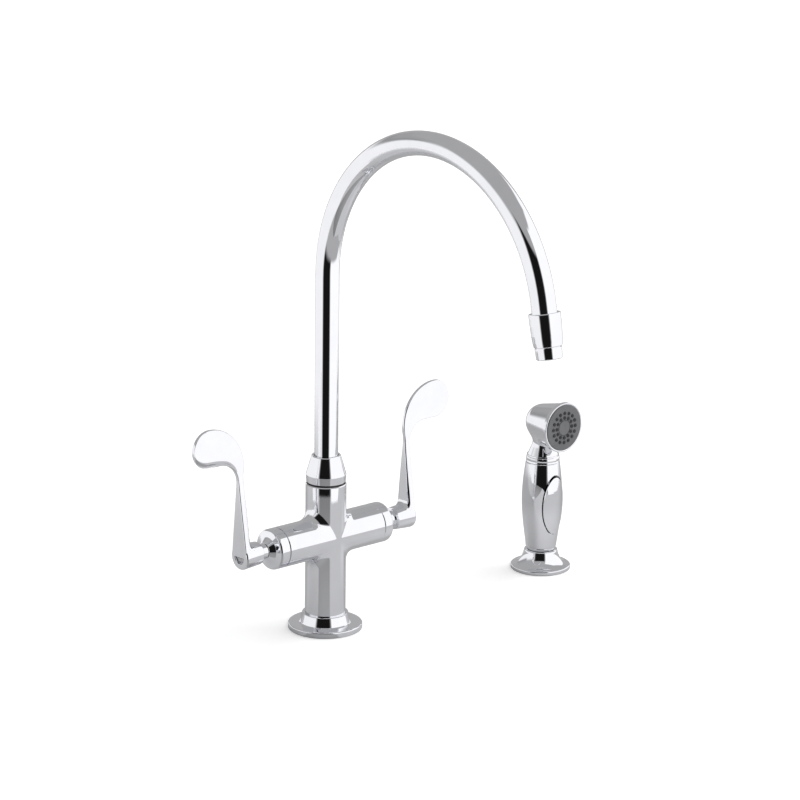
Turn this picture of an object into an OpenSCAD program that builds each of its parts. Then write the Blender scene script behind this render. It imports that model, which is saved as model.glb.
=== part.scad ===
// Deck-mounted kitchen faucet with a swinging gooseneck spout, two wrist-blade
// levers on a cross barrel, and a separate pull-up side sprayer in its holder.
// Millimetres. The origin is where the body axis meets the deck surface, the
// levers lie along X, the spout points along -Y at rest and Z is up.

/* [Deck mounting] */
// Thickness of the countertop between the gaskets and the washers
deck_t = 16; // [8:1:24]
// Diameter of the threaded shank under the body
shank_d = 26; // [24:0.5:27]
// Length of the shank below the deck surface
shank_l = 50; // [44:1:70]
// Diameter of the base flange
flange_d = 55; // [50:0.5:64]
// Thickness of the flange rim
flange_t = 4.6; // [4:0.1:6]

/* [Body] */
// Diameter of the body and of the cross barrel
body_d = 30; // [28:0.2:33]
// Height of the lever axis above the deck
barrel_z = 71; // [60:1:90]
// Height of the top of the body above the deck
body_top_z = 111.6; // [104:0.2:130]
// Half length of the barrel, over its bonnet
barrel_half = 54; // [50:1:64]
// Length of each bonnet
bonnet_l = 8.6; // [7:0.2:11]
// Length of the domed boss on the end of each bonnet
boss_l = 4.5; // [2:0.1:6]
// Radius of the boss where it leaves the bonnet
boss_r = 9.4; // [8:0.1:11]
// Radius that blends the barrel into the body
blend_r = 5; // [3:0.5:7]

/* [Spout] */
// Outside diameter of the spout tube
tube_d = 17.4; // [16:0.2:18]
// Wall of the spout tube
tube_wall = 1.2; // [0.8:0.1:1.6]
// Height at which the straight leg ends and the arch starts
arch_z = 268; // [200:1:320]
// Radius of the arch, on the tube's centre line
arch_r = 113; // [80:1:140]
// Angle that the arch turns through
arch_angle = 169; // [160:1:180]
// Straight length of the spout after its arch
outlet_l = 5.3; // [2:0.1:20]
// Height of the conical collar nut
collar_h = 20.1; // [18:0.1:30]
// Height of the plain band under its cone
band_h = 5.8; // [4:0.2:8]

/* [Aerator] */
// Diameter of the aerator housing at its top rim
housing_d = 22; // [21:0.2:25]
// Length of the aerator housing
housing_l = 23; // [18:0.5:30]
// Length of the insert that shows below the housing
insert_l = 8.5; // [5:0.5:12]

/* [Levers] */
// Diameter of the lever hub
hub_d = 19; // [18:0.2:21]
// Length of a hub, from the bonnet's boss to its outer face
hub_l = 22.65; // [21:0.05:30]
// Height of the paddle's top above the lever axis
blade_h = 99.4; // [90:0.2:115]
// Radius of the paddle's rounded end
paddle_r = 14.2; // [11:0.2:15]
// Distance from the hub face to the tip of the paddle
paddle_reach = 40; // [38:0.5:50]
// Radius of the fillet between the blade and its hub
foot_fillet = 4; // [2:0.2:5]
// Half thickness of the blade at its waist and in its paddle
blade_half_t = 1.6; // [1.3:0.1:2.6]
// Angle by which both levers lean back at rest
lever_lean = 1.6; // [0:0.2:4]

/* [Sprayer] */
// Distance from the body axis to the sprayer axis
sprayer_x = 220; // [200:1:260]
// Diameter of the holder flange
holder_d = 46.4; // [44:0.4:54]
// Height of the holder's top ring
holder_h = 15.6; // [13:0.2:20]
// Largest diameter of the grip
grip_d = 31; // [29:0.5:34]
// Height of the middle of the spray head above the deck
head_z = 118; // [114:1:126]
// Diameter of the spray face with its bezel
face_d = 39; // [36:0.5:42]
// Width of the bright bezel round the spray face
bezel_w = 1.5; // [1.2:0.1:3]
// Length of the oval trigger
trigger_l = 45.8; // [42:0.2:52]
// Width of the trigger
trigger_w = 20.2; // [16:0.2:21]
// Angle by which the neck leans toward the spray face
neck_lean = 8; // [0:1:12]
// Angle that the trigger travels
trigger_travel = 5; // [3:0.5:6]

/* [Clearances] */
// Running clearance on the radius of a turning or sliding fit
run_gap = 0.05; // [0.02:0.01:0.1]
// Clearance between pieces of different moving groups
free_gap = 0.35; // [0.3:0.05:0.6]
// Seam that shows between two screwed chrome pieces
seam = 0.6; // [0.2:0.1:0.8]
// Open groove between the body and the collar nut
groove = 1.2; // [0.6:0.1:2]
// Gap round the trigger in its slot
trigger_gap = 0.6; // [0.5:0.1:1]
// Extra gap above the trigger, on top of the one round it
trigger_top_gap = 1.2; // [0.4:0.1:2]

/* [Hidden] */
$fn = 72;
chrome = [0.80, 0.82, 0.84];
brass = [0.78, 0.62, 0.34];
rubber = [0.12, 0.12, 0.12];
plastic = [0.62, 0.63, 0.66];
steel = [0.66, 0.67, 0.68];

body_r = body_d / 2;
flange_r = flange_d / 2;
shank_r = shank_d / 2;
shank_top_r = shank_r + 0.4;
shank_bore_r = shank_r - 2.4;
gasket_t = 2;
gasket_r = flange_r - 3;
cone_r = body_r + 2;
cone_z = flange_t + 7.8;
collar_r = body_r - 0.15;
neck_r = body_r - 2.6;
neck_top = body_top_z + 9;
tube_r = tube_d / 2;
spigot_r = tube_r + 1.3;
spigot_z = body_top_z - 31;
foot_z = spigot_z + 0.4;
spigot_bore_r = spigot_r + run_gap;
collar_top = body_top_z + groove + collar_h;
ring_flange_t = 2;
collar_step = neck_top + ring_flange_t + 1.2;
chamber_r = body_r - 4.6;
chamber_x = 21;
bonnet_x = barrel_half - bonnet_l;
stem_r = 4;
neck_x = barrel_half + boss_l + free_gap;
hub_r = hub_d / 2;
hub_face_x = neck_x + hub_l;
stem_in = hub_l - 3.65;
tip_x = hub_face_x + paddle_reach;
washer_z = -deck_t;
nut_h = 8;
tail_r = 4;
tail_bore_r = 2.8;
tail_ring = shank_bore_r / 2 - 0.1;

holder_r = holder_d / 2;
grip_r = grip_d / 2;
holder_ring_r = grip_r - 2.8;
holder_shank_r = 11;
bush_r = 9.8;
guide_r = 8;
grip_z = holder_h + free_gap;
bead_z = head_z - 32;
bead_t = 6.4;
spray_neck_r = 7.9;
neck_foot = bead_z + bead_t + 7.8;
head_r = 13.6;
face_r = face_d / 2;
face_y = -21.6;
face_proud = 1.4;
trigger_z0 = grip_z + 14.5;
pivot_z = trigger_z0 + 4.6;
pivot_y = -(grip_r - 5.6);
trigger_z1 = trigger_z0 + trigger_l;
plunger_z = trigger_z0 + trigger_l * 0.7;
plunger_r = 2.4;

// Ring between two radii, standing on z0
module ring(r_out, r_in, z0, h) {
    translate([0, 0, z0]) difference() {
        cylinder(r = r_out, h = h);
        translate([0, 0, -1]) cylinder(r = r_in, h = h + 2);
    }
}

// Turned piece: an outline of [radius, height] points revolved about Z
module turned(outline) {
    rotate_extrude($fn = 96) polygon(outline);
}

// Points on an arc of the [radius, height] plane, angles in degrees
function arc(cx, cz, r, a0, a1, n) =
    [for (i = [0 : n]) let (a = a0 + (a1 - a0) * i / n) [cx + r * cos(a), cz + r * sin(a)]];

// Turned threads: ridges of one pitch between two heights
function thread_outline(r, depth, pitch, z0, z1) =
    [for (i = [0 : floor((z1 - z0) / pitch) - 1])
        for (k = [0, 1]) [r - depth * k, z0 + pitch * (i + 0.25 + 0.5 * k)]];

// Hexagon nut about Z with its corners chamfered on the lower face
module hex_nut(af, r_in, z0, h) {
    difference() {
        intersection() {
            translate([0, 0, z0]) cylinder(d = af / cos(30), h = h, $fn = 6);
            translate([0, 0, z0]) turned([[0, 0], [af / 2 - 0.4, 0],
                [af / 2 + 3, 2], [af / 2 + 3, h], [0, h]]);
        }
        translate([0, 0, z0 - 1]) cylinder(r = r_in, h = h + 2);
    }
}

// Escutcheon: a rounded rim, then a skirt of given points up to a top ring
module escutcheon(r_rim, t_rim, skirt, r_top, z_top, r_in, r_recess, t_recess) {
    turned(concat(
        [[r_recess, 0], [r_rim - 0.5, 0], [r_rim - 0.1, 0.3], [r_rim, 0.7]],
        arc(r_rim - 1.2, t_rim - 1.2, 1.2, 0, 84, 6),
        skirt,
        [[r_top, z_top - 0.5], [r_top, z_top - 0.2], [r_top - 0.3, z_top],
        [r_in, z_top], [r_in, t_recess], [r_recess, t_recess]]));
}

// Straight cone on a flat ledge
module base_flange() {
    foot = cone_r + 1.9;
    color(chrome)
    escutcheon(flange_r, flange_t,
        [[foot + 1.3, flange_t + 0.3], [foot + 0.5, flange_t + 0.45],
            [foot + 0.1, flange_t + 0.8], [foot - 0.05, flange_t + 1.2]],
        cone_r, cone_z, body_r + run_gap, gasket_r + 0.2, gasket_t);
}

module base_gasket() {
    color(rubber) ring(gasket_r, shank_top_r + 0.1, 0, gasket_t);
}

// Flat cheek between the crests of the four quarter bends, through the body along Y
module cheek() {
    reach = body_r + blend_r;
    translate([0, 0, barrel_z]) rotate([90, 0, 0]) linear_extrude(height = 2 * body_r - 0.01,
        center = true) intersection() {
            circle(r = body_r - 1, $fn = 96);
            difference() {
                square(2 * reach, center = true);
                for (x = [-1, 1], y = [-1, 1])
                    translate([x * reach, y * reach]) circle(r = reach, $fn = 96);
            }
        }
}

// Cross of the upright body and the barrel, blended by four quarter bends
module cross_solid() {
    translate([0, 0, gasket_t]) cylinder(r = body_r, h = body_top_z - 0.6 - gasket_t);
    translate([0, 0, body_top_z - 0.6]) cylinder(r1 = body_r, r2 = body_r - 0.6, h = 0.6);
    cheek();
    cylinder(r = neck_r, h = neck_top);
    translate([-bonnet_x + seam, 0, barrel_z]) rotate([0, 90, 0])
        cylinder(r = body_r, h = 2 * (bonnet_x - seam));
    translate([-bonnet_x, 0, barrel_z]) rotate([0, 90, 0])
        cylinder(r = body_r - 1, h = 2 * bonnet_x);
    for (up = [0, 1], side = [0, 1])
        translate([0, 0, barrel_z]) mirror([side, 0, 0]) mirror([0, 0, up])
            translate([body_r + blend_r, 0, body_r + blend_r]) rotate([90, 0, 0])
                rotate([0, 0, 180]) rotate_extrude(angle = 90, $fn = 96)
                    translate([body_r + blend_r, 0]) circle(r = body_r - 0.01);
}

module faucet_body() {
    color(chrome)
    difference() {
        cross_solid();
        translate([0, 0, -1]) cylinder(r = shank_top_r, h = 13);
        translate([0, 0, spigot_z]) cylinder(r = spigot_bore_r, h = neck_top);
        translate([0, 0, barrel_z - 6]) cylinder(r = 6, h = spigot_z - barrel_z + 7);
        for (side = [-1, 1]) {
            translate([side * chamber_x, 0, barrel_z]) rotate([0, 90 * side, 0])
                cylinder(r = chamber_r, h = barrel_half);
            translate([0, 0, barrel_z]) rotate([0, 90 * side, 0])
                cylinder(r = 3.5, h = chamber_x + 1);
        }
        for (a = [0, 120, 240])
            rotate([0, 0, a]) translate([tail_ring, 0, 10]) cylinder(r = tail_r, h = 20);
    }
}

// Threaded shank with a plain neck in the deck hole and a shoulder in the body
module mounting_shank() {
    color(brass)
    difference() {
        turned(concat([[0, -shank_l], [shank_r - 1.2, -shank_l], [shank_r, -shank_l + 1.2]],
            thread_outline(shank_r, 0.7, 2.2, -shank_l + 1.6, washer_z + 2),
            [[shank_r, washer_z + 3], [shank_r, 0], [shank_top_r, 0], [shank_top_r, 12],
            [0, 12]]));
        translate([0, 0, -shank_l - 1]) cylinder(r = shank_bore_r, h = shank_l + 14);
    }
}

module deck_washer() {
    color(rubber) ring(shank_r + 7.5, shank_r + 0.1, washer_z - 2.5, 2.5);
}

module clamp_washer() {
    color(steel) ring(shank_r + 7, shank_r + 0.1, washer_z - 4.5, 2);
}

module mounting_nut() {
    color(brass) hex_nut(shank_d + 10, shank_r, washer_z - 4.5 - nut_h, nut_h);
}

// Threaded end of one of the water ways, standing out of the shank
module tail(a) {
    color(brass)
    rotate([0, 0, a]) translate([tail_ring, 0, 0]) difference() {
        turned(concat([[0, -shank_l - 16], [tail_r - 0.4, -shank_l - 16]],
            thread_outline(tail_r, 0.35, 1.2, -shank_l - 15.6, -shank_l - 4),
            [[tail_r, -shank_l - 3], [tail_r, 30], [0, 30]]));
        translate([0, 0, -shank_l - 17]) cylinder(r = tail_bore_r, h = shank_l + 45);
    }
}

module hot_inlet_tail() { tail(120); }
module cold_inlet_tail() { tail(0); }
module spray_outlet_tail() { tail(240); }

// Bonnet screwed into the barrel, with a domed boss: the stem runs in its bore.
// Drawn on +X.
module bonnet() {
    color(chrome)
    translate([0, 0, barrel_z]) rotate([0, 90, 0]) turned(concat(
        [[stem_r + run_gap, bonnet_x - 5], [chamber_r, bonnet_x - 5], [chamber_r, bonnet_x],
        [body_r - 0.6, bonnet_x], [body_r, bonnet_x + 0.6]],
        arc(body_r - 2, barrel_half - 2, 2, 0, 90, 6),
        arc(boss_r - boss_l, barrel_half, boss_l, 0, 84, 8),
        [[boss_r - boss_l, barrel_half + boss_l], [stem_r + run_gap, barrel_half + boss_l]]));
}

module cold_bonnet() { bonnet(); }
module hot_bonnet() { rotate([0, 0, 180]) bonnet(); }

// Ceramic-disc valve cartridge that fills the chamber. Drawn on +X.
module cartridge() {
    color(brass)
    translate([0, 0, barrel_z]) rotate([0, 90, 0]) difference() {
        turned([[3, chamber_x], [chamber_r, chamber_x], [chamber_r, chamber_x + 5],
            [chamber_r - 1.2, chamber_x + 5.6], [chamber_r - 1.2, bonnet_x - 7],
            [chamber_r, bonnet_x - 6.4], [chamber_r, bonnet_x - 5],
            [stem_r + free_gap, bonnet_x - 5], [stem_r + free_gap, chamber_x + 4],
            [3, chamber_x + 4]]);
    }
}

module cold_cartridge() { cartridge(); }
module hot_cartridge() { rotate([0, 0, 180]) cartridge(); }

// Collar nut: a band that leans out toward its cone
module spout_collar() {
    z0 = body_top_z + groove;
    color(chrome)
    turned([[neck_r + run_gap, z0], [collar_r - 0.7, z0], [collar_r - 0.35, z0 + 0.35],
        [collar_r, z0 + band_h], [collar_r - 0.12, z0 + band_h + 0.35],
        [tube_r + 2.15, collar_top - 0.5], [tube_r + 1.8, collar_top],
        [tube_r + free_gap, collar_top], [tube_r + free_gap, collar_step],
        [neck_r + run_gap, collar_step]]);
}

module thrust_washer() {
    color(plastic) ring(neck_r - 0.1, tube_r + free_gap, collar_step - 1, 1);
}

// Straight length of the spout tube
module tube_length(h) {
    difference() {
        cylinder(r = tube_r, h = h);
        translate([0, 0, -1]) cylinder(r = tube_r - tube_wall, h = h + 2);
    }
}

// Arch of the spout tube, in the XY plane
module tube_arch() {
    rotate_extrude(angle = arch_angle, $fn = 120) translate([arch_r, 0]) difference() {
        circle(r = tube_r, $fn = 72);
        circle(r = tube_r - tube_wall, $fn = 72);
    }
}

// Frame at the end of the arch, with Z pointing out of the spout
module at_outlet() {
    translate([0, -arch_r, arch_z]) rotate([arch_angle, 0, 0]) translate([0, arch_r, 0])
        children();
}

// Frame at the top of the aerator
module at_aerator() {
    at_outlet() translate([0, 0, outlet_l]) children();
}

// Straight leg and one arch
module spout_tube() {
    color(chrome) union() {
        translate([0, 0, foot_z]) tube_length(arch_z - foot_z);
        translate([0, -arch_r, arch_z]) rotate([90, 0, 90]) tube_arch();
    }
}

// Straight end of the tube, which carries the aerator
module outlet_ferrule() {
    color(chrome) at_outlet() tube_length(outlet_l + 9);
}

// Brass bush on the foot of the tube, with its retaining ring and O-ring grooves
module spout_spigot() {
    slot = 1.6;
    color(brass)
    turned([[tube_r, foot_z], [spigot_r - 0.6, foot_z],
        [spigot_r, spigot_z + 1], [spigot_r, spigot_z + 8], [spigot_r - slot / 2, spigot_z + 8],
        [spigot_r - slot / 2, spigot_z + 8 + slot], [spigot_r, spigot_z + 8 + slot],
        [spigot_r, spigot_z + 22], [spigot_r - slot / 2, spigot_z + 22],
        [spigot_r - slot / 2, spigot_z + 22 + slot], [spigot_r, spigot_z + 22 + slot],
        [spigot_r, neck_top + run_gap], [neck_r - 0.4, neck_top + run_gap],
        [neck_r - 0.4, neck_top + ring_flange_t], [tube_r, neck_top + ring_flange_t]]);
}

module spout_o_rings() {
    color(rubber)
    for (z = [8.8, 22.8])
        translate([0, 0, spigot_z + z]) rotate_extrude($fn = 72)
            translate([spigot_r - 0.4, 0]) circle(r = 0.4, $fn = 24);
}

module aerator_housing() {
    r = housing_d / 2;
    color(chrome)
    at_aerator() turned([[tube_r, 0], [r - 0.6, 0], [r - 0.15, 0.2], [r, 0.6], [r - 0.1, 8],
        [r - 0.35, 15], [r - 0.75, housing_l - 3], [r - 1.2, housing_l - 0.4],
        [r - 1.6, housing_l], [r - 2.6, housing_l], [r - 2.6, 11], [tube_r, 11]]);
}

module aerator_washer() {
    color(rubber) at_aerator() ring(housing_d / 2 - 2.7, tube_r - 2, 9.2, 1.7);
}

// Insert with its stream holes, held in the housing
module aerator_insert() {
    r = housing_d / 2 - 2.65;
    lip = housing_d / 2 - 1.7;
    color(chrome)
    at_aerator() difference() {
        turned([[0, 13], [r, 13], [r, housing_l + seam], [lip, housing_l + seam],
            [lip, housing_l + 2], [lip - 0.3, housing_l + insert_l - 0.5],
            [lip - 0.8, housing_l + insert_l], [lip - 1.8, housing_l + insert_l],
            [lip - 1.8, housing_l + insert_l - 2], [0, housing_l + insert_l - 2]]);
        for (i = [0 : 11])
            rotate([0, 0, 30 * i]) translate([5, 0, 12])
                cylinder(r = 0.7, h = housing_l, $fn = 16);
        for (i = [0 : 5])
            rotate([0, 0, 60 * i]) translate([2.4, 0, 12])
                cylinder(r = 0.7, h = housing_l, $fn = 16);
    }
}

// Closed skin through a list of sections that all have the same number of points
module loft(sections) {
    m = len(sections);
    n = len(sections[0]);
    points = [for (s = sections) for (p = s) p];
    sides = [for (i = [0 : m - 2]) for (j = [0 : n - 1]) let (k = (j + 1) % n)
        for (half = [0, 1]) half == 0
            ? [i * n + j, i * n + k, (i + 1) * n + k]
            : [i * n + j, (i + 1) * n + k, (i + 1) * n + j]];
    first = [for (j = [1 : n - 2]) [0, j + 1, j]];
    last = [for (j = [1 : n - 2]) [(m - 1) * n, (m - 1) * n + j, (m - 1) * n + j + 1]];
    polyhedron(points = points, faces = concat(sides, first, last), convexity = 6);
}

// The blade is drawn on +X. Its two edges run in the XZ plane: the inner edge
// turns into the paddle's crown, the outer edge turns under the paddle.
paddle_cx = tip_x - paddle_r;
paddle_cz = blade_h - paddle_r;
crown_r = paddle_cx - hub_face_x + 5.2;
crown_cz = blade_h - crown_r;
under_r = 15;
under_z = paddle_cz - paddle_r;
under_cx = hub_face_x + under_r + 0.4;
stem_h = under_z - under_r;

function mix(a, b, k) = a + (b - a) * k;
function ease(k) = k * k * (3 - 2 * k);
function signed_pow(v, e) = sign(v) * pow(abs(v), e);

// One section: edge points [x, h] in the XZ plane, half thickness q along Y, how
// square it is, and how far the back of its lower edge is bevelled away
function blade_section(outer, inner, q, power, bevel) =
    [for (j = [0 : 19]) let (
        a = 18 * j + 9,
        p = signed_pow(cos(a), 2 / power),
        t = signed_pow(sin(a), 2 / power),
        cut = t > 0 ? bevel * ease(min(1, max(0, (-p - 0.5) / 0.45))) : 0,
        x = mix(outer[0], inner[0], (p + 1) / 2),
        z = mix(outer[1], inner[1], (p + 1) / 2))
        [x, t * q * (1 - cut), z]];

function crown(a) = [paddle_cx + crown_r * cos(a), crown_cz + crown_r * sin(a)];
function under(k) = k < 0.62
    ? [under_cx + under_r * cos(180 - 90 * k / 0.62), stem_h + under_r * sin(180 - 90 * k / 0.62)]
    : [mix(under_cx, paddle_cx, (k - 0.62) / 0.38), under_z];
function on_tip(a) = [paddle_cx + paddle_r * cos(a), paddle_cz + paddle_r * sin(a)];
crown_start = 193;

// Half width of the upright plate at a height above the lever axis
function plate_half(h) = h < 8 ? hub_r - 1.2 :
    mix(hub_r - 1.2, blade_half_t, pow(min(1, (h - 8) / (stem_h - 8)), 0.82));
stem_t = 6;

blade_sections = concat(
    [for (i = [0 : 8]) let (h = mix(1, stem_h - 1, i / 8), foot = crown(crown_start))
        blade_section([mix(hub_face_x, hub_face_x + 0.4, i / 8), h],
            [mix(hub_face_x - stem_t, foot[0], i / 8), h + 2 * i / 8],
            plate_half(h), mix(9, 12, i / 8), 0)],
    [for (i = [0 : 13]) let (k = i / 13)
        blade_section(under(k), crown(mix(crown_start, 90, k)), blade_half_t, 12,
            1.3 * ease(k))],
    [for (a = [75, 60, 45, 30, 18, 8])
        blade_section(on_tip(-a), on_tip(a), blade_half_t * pow(sin(a), 0.12), 12,
            1.3 * sin(a))]);

// Ring that fills the corner between the hub and the blade's inner side
module foot_ring() {
    x = hub_face_x - stem_t + 0.2;
    r = foot_fillet;
    intersection() {
        rotate([0, 90, 0]) turned(concat([[hub_r - 2, x + 1], [hub_r - 2, x - r], [hub_r, x - r]],
            arc(hub_r - 0.2 + r, x - r, r, 172, 90, 8), [[hub_r - 0.2 + r, x + 1]]));
        translate([x + 2, 0, 0]) cylinder(r = hub_r - 0.9, h = 20);
    }
}

module lever() {
    color(chrome)
    translate([0, 0, barrel_z]) rotate([-lever_lean, 0, 0]) difference() {
        union() {
            rotate([0, 90, 0]) turned(concat(
                [[0, neck_x]], arc(hub_r - 5.2, neck_x + 4, 4, -75, 0, 6),
                arc(hub_r - 1.6, hub_face_x - 1.6, 1.6, 0, 90, 6), [[0, hub_face_x]]));
            foot_ring();
            loft(blade_sections);
        }
        translate([neck_x - 1, 0, 0]) rotate([0, 90, 0]) cylinder(r = stem_r, h = stem_in + 1);
        rotate([0, 90, 0]) cylinder(r = 2.1, h = hub_face_x + 1);
        translate([hub_face_x - 2.6, 0, 0]) rotate([0, 90, 0]) cylinder(r = 5.15, h = 5);
    }
}

// The hot side uses the same casting, turned half round
module facing_hot() {
    rotate([0, 0, 180]) children();
}

module hot_side() {
    translate([0, 0, barrel_z]) rotate([-2 * lever_lean, 0, 0]) translate([0, 0, -barrel_z])
        facing_hot() children();
}

module cold_lever() { lever(); }
module hot_lever() { hot_side() lever(); }

// Valve stem: it runs in the bonnet and ends in the lever hub. Drawn on +X.
module stem() {
    color(brass)
    translate([0, 0, barrel_z]) rotate([0, 90, 0]) difference() {
        turned([[0, chamber_x + 5], [stem_r - 0.5, chamber_x + 5], [stem_r, chamber_x + 5.5],
            [stem_r, neck_x + stem_in - 0.5], [stem_r - 0.5, neck_x + stem_in],
            [0, neck_x + stem_in]]);
        translate([0, 0, neck_x + 5]) cylinder(r = 2, h = stem_in);
    }
}

module cold_stem() { stem(); }
module hot_stem() { facing_hot() stem(); }

// Slotted screw with a domed head, sunk in the end of the hub. Drawn on +X.
module lever_screw() {
    top = hub_face_x - 0.3;
    color(steel)
    translate([0, 0, barrel_z]) rotate([0, 90, 0]) difference() {
        turned(concat([[0, neck_x + 8], [2, neck_x + 8], [2, hub_face_x - 2.6],
            [4.5, hub_face_x - 2.6], [4.5, hub_face_x - 2]],
            [for (i = [1 : 6]) let (a = 15 * i)
                [4.5 * cos(a), hub_face_x - 2 + (top - hub_face_x + 2) * sin(a)]]));
        translate([-0.5, -6, top - 1]) cube([1, 12, 2]);
    }
}

module cold_lever_screw() { lever_screw(); }
module hot_lever_screw() { facing_hot() lever_screw(); }

// Everything of the sprayer stands on its own axis
module at_sprayer() {
    translate([sprayer_x, 0, 0]) children();
}

// Hollow flare from the ring down to the flat of the rim
module holder_flange() {
    rim = 3.6;
    reach = holder_r - 1.6 - holder_ring_r;
    rise = (holder_h - rim - 1.3) / (1 - sin(15));
    color(chrome)
    at_sprayer() escutcheon(holder_r, rim,
        [for (i = [1 : 12]) let (a = mix(90, 15, i / 12))
            [holder_r - 1.6 - reach * cos(a), rim + 0.2 + rise * (1 - sin(a))]],
        holder_ring_r, holder_h, bush_r + run_gap, holder_r - 2.6, gasket_t);
}

module holder_gasket() {
    color(rubber) at_sprayer() ring(holder_r - 2.8, holder_shank_r + 0.5, 0, gasket_t);
}

module holder_shank() {
    color(brass)
    at_sprayer() difference() {
        turned(concat([[0, -shank_l + 8], [holder_shank_r - 1, -shank_l + 8],
            [holder_shank_r, -shank_l + 9]],
            thread_outline(holder_shank_r, 0.6, 2, -shank_l + 9.6, washer_z + 2),
            [[holder_shank_r, washer_z + 3], [holder_shank_r, 0], [holder_shank_r + 0.4, 0],
            [holder_shank_r + 0.4, gasket_t], [0, gasket_t]]));
        translate([0, 0, -shank_l]) cylinder(r = holder_shank_r - 2.2, h = shank_l + 14);
    }
}

module holder_washer() {
    color(steel) at_sprayer() ring(holder_shank_r + 8, holder_shank_r + 0.1, washer_z - 2, 2);
}

module holder_nut() {
    color(brass) at_sprayer()
        hex_nut(holder_shank_r * 2 + 8, holder_shank_r, washer_z - 2 - nut_h, nut_h);
}

// Plastic guide bush that turns in the holder and lets the sprayer slide out
module holder_bush() {
    color(plastic) at_sprayer()
        ring(bush_r, guide_r + run_gap, gasket_t + 0.2, holder_h - gasket_t - 0.2);
}

// Outline of the grip from its foot to the bead, as [radius, height] points
function grip_radius(k) = mix(grip_r - 3.9, grip_r - 2.3, k)
    + 3.1 * pow(sin(180 * pow(k, 1.16)), 1.0);
grip_h = bead_z - grip_z;
function grip_outline(grow) =
    [for (i = [0 : 28]) let (k = i / 28) [grip_radius(k) + grow, grip_z + grip_h * k]];

// The neck leans from its foot into the head
module neck_core(below, above) {
    translate([0, 0, neck_foot]) rotate([neck_lean, 0, 0]) translate([0, 0, -below])
        cylinder(r = spray_neck_r, h = below + above);
}

// Oval prism along -Y between two heights, for the trigger and for its slot
module oval(half_w, z0, z1) {
    translate([0, 0, (z0 + z1) / 2]) rotate([90, 0, 0]) linear_extrude(height = 30)
        polygon([for (i = [0 : 47]) [half_w * cos(7.5 * i), (z1 - z0) / 2 * sin(7.5 * i)]]);
}

module spray_grip() {
    color(chrome)
    at_sprayer() difference() {
        union() {
            turned(concat([[0, grip_z]], [[grip_radius(0) - 0.8, grip_z]],
                [for (i = [1 : 28]) grip_outline(0)[i]], [[0, bead_z]]));
            turned([[0, bead_z], [grip_r - 3.6, bead_z],
                [grip_r - 3.6, bead_z + bead_t], [grip_r - 4.2, bead_z + bead_t + 0.3],
                [spray_neck_r + 0.15, neck_foot], [0, neck_foot]]);
            neck_core(6, 6);
        }
        intersection() {
            oval(trigger_w / 2 + trigger_gap, trigger_z0 - trigger_gap,
                trigger_z1 + trigger_gap + trigger_top_gap);
            translate([-20, -30, 0]) cube([40, 30 - 4.4, 200]);
        }
        translate([0, 6, plunger_z]) rotate([90, 0, 0]) cylinder(r = plunger_r + run_gap, h = 20);
        translate([-8.65, pivot_y, pivot_z]) rotate([0, 90, 0]) cylinder(r = 1.2, h = 30);
    }
}

module spray_guide() {
    color(plastic) at_sprayer() difference() {
        turned([[0, -24], [3.6, -24], [3.6, -12], [5.4, -11], [5.4, -6], [guide_r - 0.6, -5],
            [guide_r, -4], [guide_r, grip_z], [0, grip_z]]);
        translate([0, 0, -25]) cylinder(r = 2.4, h = 30);
    }
}

// Rounded bead between two thin lines
module spray_bead() {
    low = grip_r - 3.2;
    color(chrome) at_sprayer() turned(concat(
        [[grip_r - 3.6, bead_z + bead_t], [grip_r - 3.6, bead_z], [low + 0.3, bead_z],
        [low + 0.3, bead_z + 0.7], [low, bead_z + 0.9]],
        [for (i = [0 : 8]) let (a = mix(-80, 80, i / 8))
            [low - 0.1 + 0.75 * cos(a), bead_z + bead_t / 2 + (bead_t / 2 - 1.1) * sin(a)]],
        [[low, bead_z + bead_t - 0.9], [low + 0.2, bead_z + bead_t - 0.7],
        [low + 0.1, bead_z + bead_t]]));
}

// Domed head whose cone opens toward the face on the -Y side
module spray_head() {
    color(chrome)
    at_sprayer() difference() {
        translate([0, 0, head_z]) rotate([90, 0, 0]) turned(concat(
            arc(0, 0, head_r, -90, 12, 14),
            [for (i = [1 : 6]) let (k = i / 6)
                [mix(head_r - 0.3, face_r - 0.9, k * (0.7 + 0.3 * k)), mix(3.2, -face_y - 2.6, k)]],
            [[0, -face_y - 2.6]]));
        neck_core(6, 6);
    }
}

module spray_bezel() {
    y = -face_y;
    color(chrome)
    at_sprayer() translate([0, 0, head_z]) rotate([90, 0, 0]) turned([
        [face_r - bezel_w, y - 2.6], [face_r - 0.7, y - 2.6], [face_r, y - 1.9],
        [face_r, y - 0.6], [face_r - 0.35, y - 0.1], [face_r - 0.8, y],
        [face_r - 1.1, y - 0.3], [face_r - bezel_w, y - 1.2]]);
}

// Soft spray disc with two circles of jets around a flat boss
module spray_face() {
    y = -face_y;
    top = y + face_proud;
    rim = face_r - bezel_w;
    color(plastic)
    at_sprayer() translate([0, 0, head_z]) rotate([90, 0, 0]) difference() {
        turned([[0, y - 2.6], [rim, y - 2.6], [rim, top - 0.9], [rim - 0.15, top - 0.4],
            [rim - 0.5, top - 0.1], [rim - 1, top], [6.5, top], [6.3, top - 0.5],
            [5.8, top - 0.5], [5.6, top], [0, top]]);
        for (i = [0 : 15])
            rotate([0, 0, 22.5 * i]) translate([11.6, 0, top - 1.2])
                cylinder(r = 1.2, h = 3, $fn = 16);
        for (i = [0 : 11])
            rotate([0, 0, 30 * i]) translate([7.9, 0, top - 1.2])
                cylinder(r = 1.15, h = 3, $fn = 16);
    }
}

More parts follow.
